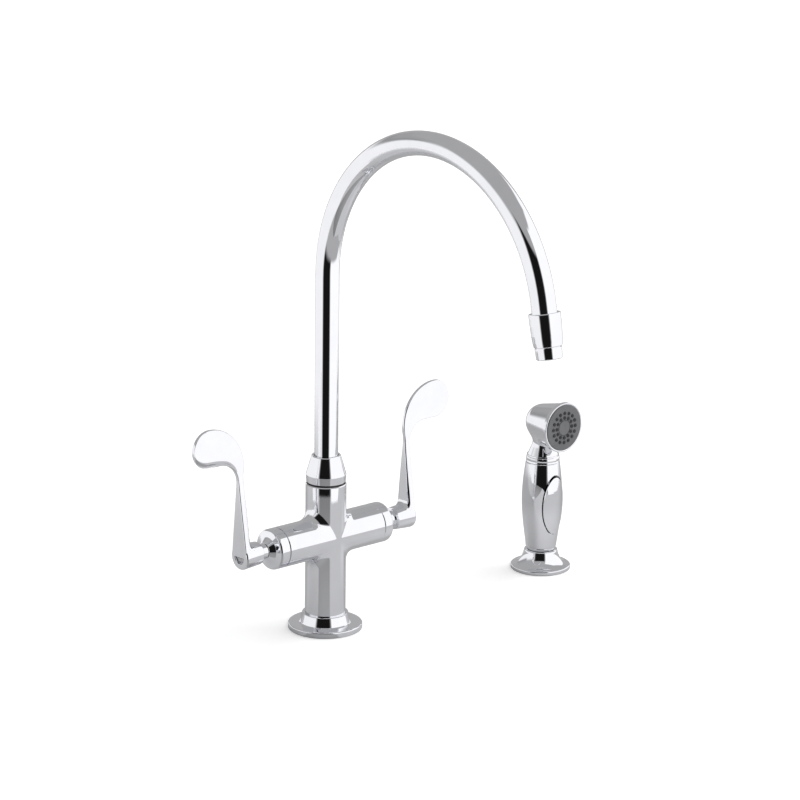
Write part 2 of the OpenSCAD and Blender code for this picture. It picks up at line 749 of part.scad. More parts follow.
// Trigger: a slice of the grip's own swell, a little proud of it
module trigger() {
    color(chrome)
    at_sprayer() difference() {
        union() {
            intersection() {
                oval(trigger_w / 2, trigger_z0, trigger_z1);
                difference() {
                    turned(concat([[0, grip_z]], grip_outline(0.7), [[0, bead_z]]));
                    turned(concat([[0, grip_z - 1]], grip_outline(-2.1), [[0, bead_z + 1]]));
                }
            }
            translate([-3, pivot_y, pivot_z]) rotate([0, 90, 0]) cylinder(r = 2.7, h = 6);
        }
        translate([-20, pivot_y, pivot_z]) rotate([0, 90, 0])
            cylinder(r = 1.2 + run_gap, h = 40);
    }
}

module trigger_pin() {
    color(steel) at_sprayer()
        translate([-8.6, pivot_y, pivot_z]) rotate([0, 90, 0]) cylinder(r = 1.2, h = 17.4);
}

module valve_plunger() {
    reach = grip_radius((plunger_z - grip_z) / grip_h) - 2.1 - free_gap - 0.25;
    color(steel) at_sprayer()
        translate([0, 1, plunger_z]) rotate([90, 0, 0]) cylinder(r = plunger_r, h = reach + 1);
}

base_flange();
base_gasket();
faucet_body();
mounting_shank();
deck_washer();
clamp_washer();
mounting_nut();
hot_inlet_tail();
cold_inlet_tail();
spray_outlet_tail();
hot_bonnet();
cold_bonnet();
hot_cartridge();
cold_cartridge();
spout_collar();
thrust_washer();
spout_tube();
outlet_ferrule();
spout_spigot();
spout_o_rings();
aerator_housing();
aerator_insert();
aerator_washer();
hot_stem();
hot_lever();
hot_lever_screw();
cold_stem();
cold_lever();
cold_lever_screw();
holder_flange();
holder_gasket();
holder_shank();
holder_washer();
holder_nut();
holder_bush();
spray_grip();
spray_guide();
spray_bead();
spray_head();
spray_bezel();
spray_face();
trigger();
trigger_pin();
valve_plunger();
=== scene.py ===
import math

import bmesh
import bpy
from mathutils import Matrix, Vector


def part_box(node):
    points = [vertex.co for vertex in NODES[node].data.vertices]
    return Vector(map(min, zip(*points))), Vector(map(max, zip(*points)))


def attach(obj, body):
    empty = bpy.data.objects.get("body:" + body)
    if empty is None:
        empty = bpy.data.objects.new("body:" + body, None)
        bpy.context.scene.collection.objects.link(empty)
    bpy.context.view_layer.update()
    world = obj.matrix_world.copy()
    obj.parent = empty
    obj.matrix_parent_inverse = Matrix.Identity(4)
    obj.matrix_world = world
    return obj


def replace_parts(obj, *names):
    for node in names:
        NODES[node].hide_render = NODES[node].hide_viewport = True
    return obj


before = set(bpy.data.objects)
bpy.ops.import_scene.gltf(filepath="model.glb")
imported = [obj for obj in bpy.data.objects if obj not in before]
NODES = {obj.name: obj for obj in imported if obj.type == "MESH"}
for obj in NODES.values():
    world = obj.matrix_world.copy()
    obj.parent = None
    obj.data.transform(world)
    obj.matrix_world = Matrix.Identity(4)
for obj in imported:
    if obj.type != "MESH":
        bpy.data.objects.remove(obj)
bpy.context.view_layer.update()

# The scene is in metres. The sizes and outlines of the pieces are in millimetres, and repeat
# those of the part's own source.
WHITE = (1, 1, 1, 1)
DEGREES = 57.2958
STUDIO = math.radians(41.7)     # the photograph's camera stands at this angle from -Y toward -X


# --- camera -------------------------------------------------------------------------------

CAMERA_AT = (-1.596, -1.872, 0.867)
CAMERA_ANGLES = (41.692, 15.717, 0.716)     # yaw from +Y toward +X, pitch down, roll
FOCAL_LENGTH = 158.31
SENSOR_WIDTH = 36


def make_camera():
    """The photograph's camera, found by fitting the part's own sizes to the picture."""
    yaw, pitch, roll = (math.radians(a) for a in CAMERA_ANGLES)
    forward = Vector((math.sin(yaw) * math.cos(pitch), math.cos(yaw) * math.cos(pitch),
                      -math.sin(pitch)))
    level = Vector((math.cos(yaw), -math.sin(yaw), 0))
    rise = level.cross(forward)
    right = math.cos(roll) * level + math.sin(roll) * rise
    up = -math.sin(roll) * level + math.cos(roll) * rise
    data = bpy.data.cameras.new("camera")
    data.sensor_width = SENSOR_WIDTH
    data.lens = FOCAL_LENGTH
    data.clip_end = 50
    camera = bpy.data.objects.new("camera", data)
    turn = Matrix((right, up, -forward)).transposed().to_4x4()
    camera.matrix_world = Matrix.Translation(CAMERA_AT) @ turn
    bpy.context.scene.collection.objects.link(camera)
    bpy.context.scene.camera = camera


# --- shader graphs ------------------------------------------------------------------------

class Graph:
    """Adds and links the nodes of one shader tree."""

    def __init__(self, owner, empty=False):
        owner.use_nodes = True
        self.tree = owner.node_tree
        if empty:
            self.tree.nodes.clear()

    def add(self, kind, links=None, **values):
        node = self.tree.nodes.new("ShaderNode" + kind)
        for key, value in values.items():
            if key in node.inputs:
                node.inputs[key].default_value = value
            else:
                setattr(node, key, value)
        for key, source in (links or {}).items():
            self.tree.links.new(source, node.inputs[key])
        return node

    def maths(self, op, a, b=0.0):
        node = self.add("Math", operation=op)
        for i, value in enumerate((a, b)):
            if isinstance(value, (int, float)):
                node.inputs[i].default_value = value
            else:
                self.tree.links.new(value, node.inputs[i])
        return node.outputs[0]

    def mapped(self, value, start, end, **more):
        """Maps a value from one pair of limits to another."""
        node = self.add("MapRange", {"Value": value}, **more)
        for key, limit in zip(("From Min", "From Max", "To Min", "To Max"), (*start, *end)):
            node.inputs[key].default_value = limit
        return node.outputs[0]

    def rise(self, value, middle, soft):
        """0 below the middle and 1 above it, over a soft edge."""
        return self.mapped(value, (middle - soft, middle + soft), (0, 1),
                           interpolation_type="SMOOTHSTEP")

    def band(self, value, low, high, soft_low, soft_high):
        """1 between low and high, with two soft edges."""
        over = self.rise(value, high, soft_high)
        return self.maths("SUBTRACT", self.rise(value, low, soft_low), over)

    def paint(self, level, card, mask):
        """Lay a card of one brightness over what is there."""
        change = self.maths("SUBTRACT", card, level)
        return self.maths("ADD", level, self.maths("MULTIPLY", change, mask))

    def two_tones(self, fac, low, dark, high, colour):
        """A colour between two tones, dark below low and full above high."""
        ramp = self.add("ValToRGB", {"Fac": fac})
        for tone, place, shade in zip(ramp.color_ramp.elements, (low, high), (dark, colour)):
            tone.position = place
            tone.color = (*shade, 1)
        return ramp.outputs["Color"]


# --- materials ----------------------------------------------------------------------------

def metal(name, colour, dark, rough, rough_range, brushed=0.0, wave=0.0):
    """Polished or brushed metal: a faint patchiness in colour, hairline scratches in its
    roughness, and a slow unevenness of the surface."""
    material = bpy.data.materials.new(name)
    g = Graph(material)
    shader = g.tree.nodes["Principled BSDF"]
    link = g.tree.links.new
    place = g.add("TexCoord").outputs["Object"]
    patch = g.add("TexNoise", {"Vector": place}, Scale=60.0, Detail=4.0, Roughness=0.6)
    link(g.two_tones(patch.outputs["Fac"], 0.30, dark, 0.65, colour), shader.inputs["Base Color"])
    stretch = g.add("Mapping", {"Vector": place})
    stretch.inputs["Scale"].default_value = (1.0, 1.0, 0.06 if brushed else 0.35)
    hair = g.add("TexNoise", {"Vector": stretch.outputs["Vector"]}, Scale=900.0, Detail=3.0)
    scratches = g.mapped(hair.outputs["Fac"], (0.3, 0.75), (rough, rough + rough_range))
    link(scratches, shader.inputs["Roughness"])
    slow = g.add("TexNoise", {"Vector": place}, Scale=45.0, Detail=1.0)
    bump = g.add("Bump", {"Height": slow.outputs["Fac"]}, Strength=wave, Distance=0.0002)
    if brushed:
        bump = g.add("Bump", {"Height": hair.outputs["Fac"], "Normal": bump.outputs["Normal"]},
                     Strength=brushed, Distance=0.00005)
    link(bump.outputs["Normal"], shader.inputs["Normal"])
    shader.inputs["Metallic"].default_value = 1.0
    return material


def moulded(name, colour, dark, rough, grain):
    """Moulded plastic or rubber: a fine grain and a slight unevenness of its colour."""
    material = bpy.data.materials.new(name)
    g = Graph(material)
    shader = g.tree.nodes["Principled BSDF"]
    link = g.tree.links.new
    place = g.add("TexCoord").outputs["Object"]
    patch = g.add("TexNoise", {"Vector": place}, Scale=90.0, Detail=5.0)
    link(g.two_tones(patch.outputs["Fac"], 0.3, dark, 0.7, colour), shader.inputs["Base Color"])
    fine = g.add("TexNoise", {"Vector": place}, Scale=700.0, Detail=4.0)
    link(g.mapped(fine.outputs["Fac"], (0, 1), (rough - 0.08, rough + 0.08)),
         shader.inputs["Roughness"])
    bump = g.add("Bump", {"Height": fine.outputs["Fac"]}, Strength=grain, Distance=0.0001)
    link(bump.outputs["Normal"], shader.inputs["Normal"])
    return material


# --- studio -------------------------------------------------------------------------------

# What the metal mirrors, by brightness.
CEILING, WALL_BEHIND, BELOW = 0.39, 0.42, 0.42
LEFT_PANEL, UPPER_LEFT, RIGHT_PANEL, BLACK_CARD = 0.95, 0.31, 1.06, 0.008
AMBIENT = 0.53                              # what lights the surfaces that aren't mirrors

SPRAYER_AT = (0.22, 0, 0)
FLOOR_SIZE = 5.0
TABLE_R, TABLE_SOFT = 0.335, 0.006          # how far the table reaches, and its soft edge
AHEAD_R, SIDES_R, SIDES_SOFT = 0.017, 0.177, 0.19       # what is added ahead and at the sides
# painted light and shade: the table is a little lighter to the right and darker behind
TABLE_SHADE, PAINTED_LIGHT_RIGHT, PAINTED_SHADE_BEHIND = 0.60, 0.022, 0.45
PAINTED_SHADE_NEAR, PAINTED_SHADE_FAR = (0.06, 0.41), (0.33, 0.25)      # (distance, shade) of the painted shade that darkens the table toward the camera
SPRAYER_PAINTED_LIGHT = 0.09                        # painted light, added round the sprayer
PAPER, PAPER_GLOW = 0.85, 0.38

SUN_ENERGY, SUN_SPREAD = 2.5, 70
SUN_WAY = (-0.85, 0.21, -0.48)


def make_world():
    """A studio of two white panels with a black card between them, below a grey ceiling.
    Angles are in degrees; 0 faces the photograph's camera and + is to its right."""
    world = bpy.data.worlds.new("studio")
    bpy.context.scene.world = world
    g = Graph(world, empty=True)
    place = g.add("TexCoord")
    turned = g.add("VectorRotate", {"Vector": place.outputs["Generated"]},
                   rotation_type="Z_AXIS")
    turned.inputs["Angle"].default_value = STUDIO
    x, y, z = g.add("SeparateXYZ", {"Vector": turned.outputs["Vector"]}).outputs
    toward = g.maths("MULTIPLY", y, -1.0)
    side = g.maths("MULTIPLY", g.maths("ARCTAN2", x, toward), DEGREES)
    height = g.maths("MULTIPLY", g.maths("ARCSINE", z), DEGREES)

    def card(level, brightness, sides, heights, above=height):
        """Lay a card over the level. Its sides and its heights each are the two limits and
        the softness of both edges."""
        mask = g.maths("MULTIPLY", g.band(side, *sides), g.band(above, *heights))
        return g.paint(level, brightness, mask)

    behind = g.rise(g.maths("ABSOLUTE", side), 152.0, 6.0)
    behind = g.maths("MULTIPLY", behind, g.band(height, 2, 26, 6, 5))
    level = g.paint(CEILING, WALL_BEHIND, behind)
    level = g.paint(level, BELOW, g.maths("SUBTRACT", 1.0, g.rise(height, -17.0, 3.0)))
    level = card(level, LEFT_PANEL, (-155, -40, 3, 6), (-46, 22, 3, 8))
    level = card(level, UPPER_LEFT, (-158, -96, 3, 8), (14, 28, 5, 8))
    slope = g.maths("MULTIPLY", g.maths("MAXIMUM", 0.0, g.maths("SUBTRACT", side, 95.0)), 0.34)
    dome = g.maths("ADD", height, slope)    # the right panel comes down toward the back
    level = card(level, RIGHT_PANEL, (30, 150, 3, 3), (-24, 50, 2, 2), dome)
    level = card(level, BLACK_CARD, (-40, 26, 7, 6), (-25, 33, 3, 3))

    seen = g.add("Background", Strength=1.0, Color=WHITE)
    mirrored = g.add("Background", {"Strength": level}, Color=WHITE)
    ambient = g.add("Background", Strength=AMBIENT, Color=WHITE)
    path = g.add("LightPath")
    shiny = g.maths("MAXIMUM", path.outputs["Is Glossy Ray"],
                    path.outputs["Is Transmission Ray"])
    first = g.add("MixShader", {0: shiny, 1: ambient.outputs[0], 2: mirrored.outputs[0]})
    second = g.add("MixShader", {0: path.outputs["Is Camera Ray"], 1: first.outputs[0],
                                 2: seen.outputs[0]})
    g.add("OutputWorld", {"Surface": second.outputs[0]})


def make_floor():
    """Paper that shows white to the camera and keeps the soft shadow. The metal mirrors it
    as a grey table round the object, with the studio's cards beyond its edge."""
    mesh = bpy.data.meshes.new("floor")
    s = FLOOR_SIZE
    mesh.from_pydata([(-s, -s, 0), (s, -s, 0), (s, s, 0), (-s, s, 0)], [], [(0, 1, 2, 3)])
    floor = bpy.data.objects.new("floor", mesh)
    bpy.context.scene.collection.objects.link(floor)
    material = bpy.data.materials.new("paper")
    g = Graph(material, empty=True)
    place = g.add("TexCoord").outputs["Object"]

    def vector_value(operation, other=None):
        node = g.add("VectorMath", {0: place}, operation=operation)
        if other:
            node.inputs[1].default_value = other
        return node.outputs["Value"]

    front = vector_value("DOT_PRODUCT", (-math.sin(STUDIO), -math.cos(STUDIO), 0))
    right = vector_value("DOT_PRODUCT", (math.cos(STUDIO), -math.sin(STUDIO), 0))
    away = vector_value("LENGTH")
    apart = vector_value("DISTANCE", SPRAYER_AT)
    reach = g.maths("MINIMUM", away, g.maths("ADD", apart, 0.03))
    turn = g.maths("MULTIPLY", g.maths("ARCTAN2", right, front), DEGREES)

    # the edge of the table
    sideways = g.maths("MAXIMUM", g.rise(g.maths("MULTIPLY", turn, -1.0), 80.0, 6.0),
                       g.rise(turn, 112.0, 10.0))
    ahead = g.maths("MULTIPLY", g.band(turn, -40.0, 30.0, 3.0, 3.0), AHEAD_R)
    middle = g.maths("ADD", g.maths("ADD", TABLE_R, ahead),
                     g.maths("MULTIPLY", sideways, SIDES_R))
    soft = g.maths("ADD", TABLE_SOFT, g.maths("MULTIPLY", sideways, SIDES_SOFT))
    edge = g.rise(g.maths("DIVIDE", g.maths("SUBTRACT", reach, middle), soft), 0.0, 1.0)

    # its shades, partly painted: painted light to the right and round the sprayer, painted shade
    # ahead and behind
    shade = g.maths("MULTIPLY", g.rise(turn, 5.0, 12.0), PAINTED_LIGHT_RIGHT)
    shade = g.maths("ADD", TABLE_SHADE, shade)
    # painted shade: toward the camera the table grows darker with distance
    deep = g.mapped(away, *zip(PAINTED_SHADE_NEAR, PAINTED_SHADE_FAR))
    shade = g.paint(shade, deep, g.band(turn, -35.0, 25.0, 3.0, 3.0))
    # painted shade: the table is darker behind the object
    shade = g.paint(shade, PAINTED_SHADE_BEHIND, g.rise(g.maths("ABSOLUTE", turn), 122.0, 14.0))
    # painted light: the table is brighter round the sprayer
    close = g.maths("SUBTRACT", 1.0, g.rise(apart, 0.13, 0.05))
    shade = g.maths("ADD", shade, g.maths("MULTIPLY", close, SPRAYER_PAINTED_LIGHT))

    near = g.add("BsdfDiffuse", {"Color": shade})
    paper = g.add("BsdfDiffuse", Color=(PAPER, PAPER, PAPER, 1))
    glow = g.add("Emission", Color=WHITE, Strength=PAPER_GLOW)
    white = g.add("AddShader", {0: paper.outputs[0], 1: glow.outputs[0]})
    clear = g.add("BsdfTransparent")
    path = g.add("LightPath")
    table = g.add("MixShader", {0: edge, 1: near.outputs[0], 2: clear.outputs[0]})
    kind = g.add("MixShader", {0: path.outputs["Is Glossy Ray"], 1: white.outputs[0],
                               2: table.outputs[0]})
    g.add("OutputMaterial", {"Surface": kind.outputs[0]})
    floor.data.materials.append(material)


def make_sun():
    """A wide soft source, low on the right, which the metal doesn't mirror."""
    data = bpy.data.lights.new("key", "SUN")
    data.energy = SUN_ENERGY
    data.angle = math.radians(SUN_SPREAD)
    lamp = bpy.data.objects.new("key", data)
    lamp.rotation_euler = Vector(SUN_WAY).to_track_quat("-Z", "Y").to_euler()
    lamp.visible_glossy = False
    bpy.context.scene.collection.objects.link(lamp)


# --- smoothing ----------------------------------------------------------------------------

MERGE_DISTANCE = 0.000002
SMOOTH_BELOW = math.radians(22)


def smoothing():
    """Geometry nodes that shade a turned or lofted surface as one, across the edges between
    its faces that meet at a small angle."""
    group = bpy.data.node_groups.new("smoothing", "GeometryNodeTree")
    for way in ("INPUT", "OUTPUT"):
        group.interface.new_socket("Geometry", in_out=way, socket_type="NodeSocketGeometry")
    start = group.nodes.new("NodeGroupInput")
    merge = group.nodes.new("GeometryNodeMergeByDistance")
    merge.inputs["Distance"].default_value = MERGE_DISTANCE
    drop = group.nodes.new("GeometryNodeRemoveAttribute")
    drop.inputs["Name"].default_value = "custom_normal"
    faces = group.nodes.new("GeometryNodeSetShadeSmooth")
    edges = group.nodes.new("GeometryNodeSetShadeSmooth")
    edges.domain = "EDGE"
    angle = group.nodes.new("GeometryNodeInputMeshEdgeAngle")
    small = group.nodes.new("ShaderNodeMath")
    small.operation = "LESS_THAN"
    small.inputs[1].default_value = SMOOTH_BELOW
    end = group.nodes.new("NodeGroupOutput")
    link = group.links.new
    link(start.outputs[0], merge.inputs["Geometry"])
    link(merge.outputs["Geometry"], drop.inputs["Geometry"])
    link(drop.outputs["Geometry"], faces.inputs["Geometry"])
    link(faces.outputs["Geometry"], edges.inputs["Geometry"])
    link(angle.outputs["Unsigned Angle"], small.inputs[0])
    link(small.outputs[0], edges.inputs["Shade Smooth"])
    link(edges.outputs["Geometry"], end.inputs[0])
    return group


# --- helpers for pieces -------------------------------------------------------------------

SHARP_FROM = math.radians(35)


def mix(a, b, k):
    """From a to b, as k goes from 0 to 1."""
    return a + (b - a) * k


def ease(k):
    """From 0 to 1 as k does, with a soft start and end."""
    k = min(1.0, max(0.0, k))
    return k * k * (3 - 2 * k)


def arc(middle, r, end, steps):
    """Points of an arc from 0 to `end` degrees."""
    angles = [math.radians(end * i / steps) for i in range(steps + 1)]
    return [(middle[0] + r * math.cos(a), middle[1] + r * math.sin(a)) for a in angles]


def lathe(bm, outline, place, steps):
    """Turn a closed outline of (radius, height) points about Z, and put it in its place."""
    outline = [(r / 1000, h / 1000) for r, h in outline]
    rings = []
    for i in range(steps):
        a = 2 * math.pi * i / steps
        rings.append([bm.verts.new(place @ Vector((r * math.cos(a), r * math.sin(a), h)))
                      for r, h in outline])
    for i, ring in enumerate(rings):
        other = rings[(i + 1) % steps]
        for k in range(len(outline)):
            j = (k + 1) % len(outline)
            bm.faces.new((ring[k], other[k], other[j], ring[j]))


def skin(bm, rings):
    """Faces between closed rings of as many points each."""
    count = len(rings[0])
    for low, high in zip(rings, rings[1:]):
        for j in range(count):
            k = (j + 1) % count
            bm.faces.new((low[j], low[k], high[k], high[j]))


def piece(name, bm, material, body):
    """A finished piece of the part, which rides on one of its bodies."""
    bmesh.ops.recalc_face_normals(bm, faces=bm.faces)
    for face in bm.faces:
        face.smooth = True
    mesh = bpy.data.meshes.new(name)
    bm.to_mesh(mesh)
    bm.free()
    mesh.materials.append(material)
    thing = bpy.data.objects.new(name, mesh)
    bpy.context.scene.collection.objects.link(thing)
    mesh.set_sharp_from_angle(angle=SHARP_FROM)
    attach(thing, body)
    return thing


def outward(inside, start, way, far):
    """How far it is from a point inside a shape to its surface, in millimetres."""
    near = 0.0
    for _ in range(26):
        k = (near + far) / 2
        if inside(*(s + k * w for s, w in zip(start, way))) < 0:
            near = k
        else:
            far = k
    return near


def blend(a, b, k):
    """Smooth union of two distances."""
    k = max(k, 0.001)
    return min(a, b) - max(0.0, k - abs(a - b)) ** 2 / (4 * k)


# --- seal and nozzles ---------------------------------------------------------------------

JETS = ((16, 0.0116), (12, 0.0079))     # the jets of each circle, and its radius in metres


def make_groove_dark_ring():
    """Dark ring that fills the open groove between the body and the collar nut, so that the
    groove renders dark.
    """
    bm = bmesh.new()
    lathe(bm, [(12.5, 111.66), (13.9, 111.66), (14.2, 111.9), (14.2, 112.5), (13.9, 112.74),
               (12.5, 112.74)], Matrix(), 96)
    piece("groove_dark_ring", bm, RUBBER, "base")


def make_nozzles():
    """Soft nozzles in the two circles of jets of the spray face."""
    bm = bmesh.new()
    low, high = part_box("spray_face")
    middle = Vector(((low[0] + high[0]) / 2, low[1], (low[2] + high[2]) / 2))
    outline = [(0.3, -0.6), (1.14, -0.6), (1.14, 0.48), (1.45, 0.52), (1.42, 0.8), (1.1, 1.1),
               (0.6, 1.2), (0.3, 1.0)]
    for count, radius in JETS:
        for i in range(count):
            a = 2 * math.pi * i / count
            spot = middle + Vector((radius * math.cos(a), 0.0005, radius * math.sin(a)))
            place = Matrix.Translation(spot) @ Matrix.Rotation(math.radians(90), 4, "X")
            lathe(bm, outline, place, 20)
    piece("spray_nozzles", bm, SOFT, "sprayer")


# --- levers -------------------------------------------------------------------------------

# The cold lever, drawn on +X; x is along the barrel and z is up from the barrel's axis.
AXIS_Z = 71.0               # the barrel's axis above the deck
NECK_X = 58.85              # where the hub starts
FACE_X = 81.5               # the outer face of hub and blade
HUB_R, HUB_NECK_R = 9.5, 8.3
RIM_R = 1.6                 # the rounding of the hub's outer end
FILLET = 4.0                # between the hub and the blade
FOOT, WAIST = 8.3, 1.5      # half the thickness of the plate, where it starts and above
STEM_H = 56.0               # where the paddle's under side starts to curve
PADDLE_X = 107.3
PADDLE_Z = 85.2
PADDLE_R = 14.2
CROWN_R = 31.0              # the long curve from the stem over the top of the paddle
CROWN_FROM = 193            # degrees
UNDER_R = 15.0              # the curve from the stem to the paddle's under side
UNDER_TURN = 0.62           # the share of the under side that this curve takes
EDGE_R, FAR_EDGE_R = 1.2, 0.8
BEVEL_DEPTH = 0.35          # of half the thickness: how deep the bevel goes past the middle
LEAN = 1.6                  # degrees


def crown(a):
    """A point of the blade's inner edge, on the long curve over the paddle."""
    a = math.radians(a)
    return (PADDLE_X + CROWN_R * math.cos(a),
            PADDLE_Z + PADDLE_R - CROWN_R + CROWN_R * math.sin(a))


def under(k):
    """A point of the blade's outer edge, from the stem (0) along the paddle's under side."""
    start = FACE_X + UNDER_R + 0.4
    if k < UNDER_TURN:
        a = math.radians(180 - 90 * k / UNDER_TURN)
        return (start + UNDER_R * math.cos(a), STEM_H + UNDER_R * math.sin(a))
    return (mix(start, PADDLE_X, (k - UNDER_TURN) / (1 - UNDER_TURN)), PADDLE_Z - PADDLE_R)


def tip(a):
    """A point of the paddle's round end."""
    a = math.radians(a)
    return (PADDLE_X + PADDLE_R * math.cos(a), PADDLE_Z + PADDLE_R * math.sin(a))


def blade_section(outer, inner, thick, r_in, r_out, bevel):
    """A plate with rounded edges, from its outer to its inner edge and `thick` to each side
    of its middle, as (x, y, z) points. The bevel takes the back of its outer edge away."""
    half = math.dist(outer, inner) / 2
    inside = min(r_in, 0.95 * thick, 0.9 * half)
    outside = (min(r_out, 0.5 * half), min(0.5 * r_out, 0.5 * half))
    right = 1 - inside / half
    ring = []
    for depth, r in ((1, outside[0]), (-1, outside[1])):
        left = -1 + r / half
        flat = [right - 0.02, 0.5, 0.0, -0.3, -0.5, -0.58, -0.64, -0.70, -0.76, -0.82, -0.88]
        flat = [max(left + 0.004 * (len(flat) - i), min(f, right - 0.004 * (i + 1)))
                for i, f in enumerate(flat)]
        side = [(f, depth * thick) for f in flat]
        for i in range(7):
            a = math.radians(90 + 15 * i)
            side.append((left + r / half * math.cos(a), depth * (thick - r + r * math.sin(a))))
        ring += side if depth > 0 else side[::-1]
    for depth in (-1, 1):
        edge = []
        for i in range(9):
            a = math.radians(90 * i / 8)
            edge.append((right + inside / half * math.cos(a),
                         depth * (thick - inside + inside * math.sin(a))))
        ring += edge[::-1] if depth < 0 else edge
    points = []
    deepest = -BEVEL_DEPTH * thick
    for across, deep in ring:
        if deep > deepest:
            deep = mix(deep, deepest, bevel * ease((-across - 0.66) / 0.30))
        k = (across + 1) / 2
        points.append((mix(outer[0], inner[0], k), deep, mix(outer[1], inner[1], k)))
    return points


def hub_radius(x):
    """The hub widens from its neck to its outer end."""
    return mix(HUB_NECK_R, HUB_R, min(1.0, max(0.0, (x - NECK_X - 4) / 17.05)))


def stem_rings():
    """The foot grows out of the hub in a fillet, and the plate narrows to its waist."""
    steps = [-2.4, -1.0, 0.0, 0.15, 0.4, 0.8, 1.3, 1.9, 2.6, 3.3, 4.0, 5.0, 6.2, 7.6, 9.2, 11.0]
    heights = [HUB_R + e for e in steps] + [mix(22.5, STEM_H - 1, i / 14) for i in range(15)]
    rings = []
    for h in heights:
        e = h - HUB_R
        low = (h - 1) / (STEM_H - 2)
        thick = mix(FOOT, WAIST, min(1, max(0, (h - 8) / (STEM_H - 8))) ** 0.82)
        left = FILLET - min(FILLET, max(0, e))
        fillet = FILLET - math.sqrt(FILLET ** 2 - left ** 2)
        outer = (mix(FACE_X - 0.03, FACE_X + 0.4, max(0, low)), h)
        inner = (mix(FACE_X - 6, crown(CROWN_FROM)[0], low) - fillet, h + 2 * low)
        rounding = EDGE_R + 3.4 * (1 - low) ** 2.6
        ring = blade_section(outer, inner, thick, rounding, FAR_EDGE_R, 0)
        flat = ease((e - 4) / 9)
        bent = []
        for x, y, z in ring:
            r = hub_radius(x) + e
            bent.append((x, y, mix(math.sqrt(max(0.0, r * r - y * y)), z, flat)))
        rings.append(bent)
    return rings


def paddle_rings():
    """The plate turns into the paddle, and its sections shrink to nothing at the tip."""
    rings = []
    for i in range(41):
        k = i / 40
        rings.append(blade_section(under(k), crown(mix(CROWN_FROM, 90, k)), WAIST, EDGE_R,
                                   FAR_EDGE_R, ease(k)))
    for a in (84, 78, 72, 66, 60, 54, 48, 42, 36, 30, 25, 20, 16, 12, 9, 6, 4):
        thin = min(1.0, a / 10) ** 0.5
        rings.append(blade_section(tip(-a), tip(a), WAIST * thin, EDGE_R, FAR_EDGE_R,
                                   math.sin(math.radians(a))))
    return rings


def make_lever(name, body, node, place):
    """The polished wrist blade with its hub: flat faces, rounded edges, one bevel."""
    bm = bmesh.new()
    rings = [[bm.verts.new(place @ (Vector(p) / 1000)) for p in ring]
             for ring in stem_rings() + paddle_rings()]
    skin(bm, rings)
    bm.faces.new(rings[-1])
    hub = [(4.02, NECK_X + 0.15), (5.9, NECK_X + 0.15), (6.1, NECK_X + 0.35), (5.7, NECK_X + 5.2),
           (5.9, NECK_X + 5.5), (7.9, NECK_X + 5.8), (8.35, NECK_X + 6.1), (8.5, NECK_X + 6.7)]
    hub += arc((HUB_R - RIM_R, FACE_X - RIM_R), RIM_R, 90, 8)
    hub += [(5.4, FACE_X), (5.15, FACE_X - 0.25), (5.15, FACE_X - 2.6), (2.1, FACE_X - 2.6),
            (2.1, NECK_X + 19.0), (4.02, NECK_X + 19.0)]
    lathe(bm, hub, place @ Matrix.Rotation(math.radians(90), 4, "Y"), 96)
    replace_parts(piece(name, bm, CHROME, body), node)


def make_levers():
    """Both levers from one shape: the hot one is the cold one turned round, and each leans."""
    lift = Matrix.Translation((0, 0, AXIS_Z / 1000))
    lean = Matrix.Rotation(math.radians(-LEAN), 4, "X")
    half_turn = Matrix.Rotation(math.pi, 4, "Z")
    make_lever("cold_wrist_lever", "cold_handle", "cold_lever", lift @ lean)
    make_lever("hot_wrist_lever", "hot_handle", "hot_lever",
               lift @ lean @ lean @ half_turn @ lean)


# --- bonnets and body ---------------------------------------------------------------------

BODY_R = 15
BODY_BLEND = 9.0            # the softness of the edge between the upright and the barrel
BARREL_END = 45.4           # where the bonnets start


def make_bonnets():
    """The bonnets that close the barrel: a rounded rim, a low cone and a steep boss."""
    start = BARREL_END
    shell = [(4.06, start - 5), (10.4, start - 5), (10.4, start), (14.4, start),
             (BODY_R, start + 0.6)]
    shell += arc((13, 52), 2, 79, 8)
    shell += [(9.6, 54.68), (9.3, 54.85), (6.3, 58.3), (6.1, 58.45), (5.8, 58.5), (4.06, 58.5)]
    lift = Matrix.Translation((0, 0, AXIS_Z / 1000))
    for side, name in ((90, "cold_bonnet"), (-90, "hot_bonnet")):
        bm = bmesh.new()
        lathe(bm, shell, lift @ Matrix.Rotation(math.radians(side), 4, "Y"), 128)
        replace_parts(piece(name + "_shell", bm, CHROME, "base"), name)


def cross(x, y, z):
    """The upright body and the barrel, two equal cylinders with a soft edge between them."""
    a = math.hypot(x, y) + 1e-9
    b = math.hypot(y, z) + 1e-9
    return blend(a - BODY_R, b - BODY_R, BODY_BLEND * (1 - y * y / (a * b)))


def seam(right, up, count):
    """The line on the body along which an arm of the barrel meets half of the upright."""
    points = []
    for i in range(count + 1):
        a = math.radians(-90 + 180 * i / count)
        way = (right * math.cos(a) / math.sqrt(2), math.sin(a), up * math.cos(a) / math.sqrt(2))
        k = outward(cross, (0, 0, 0), way, 40)
        points.append(tuple(k * w for w in way))
    return points


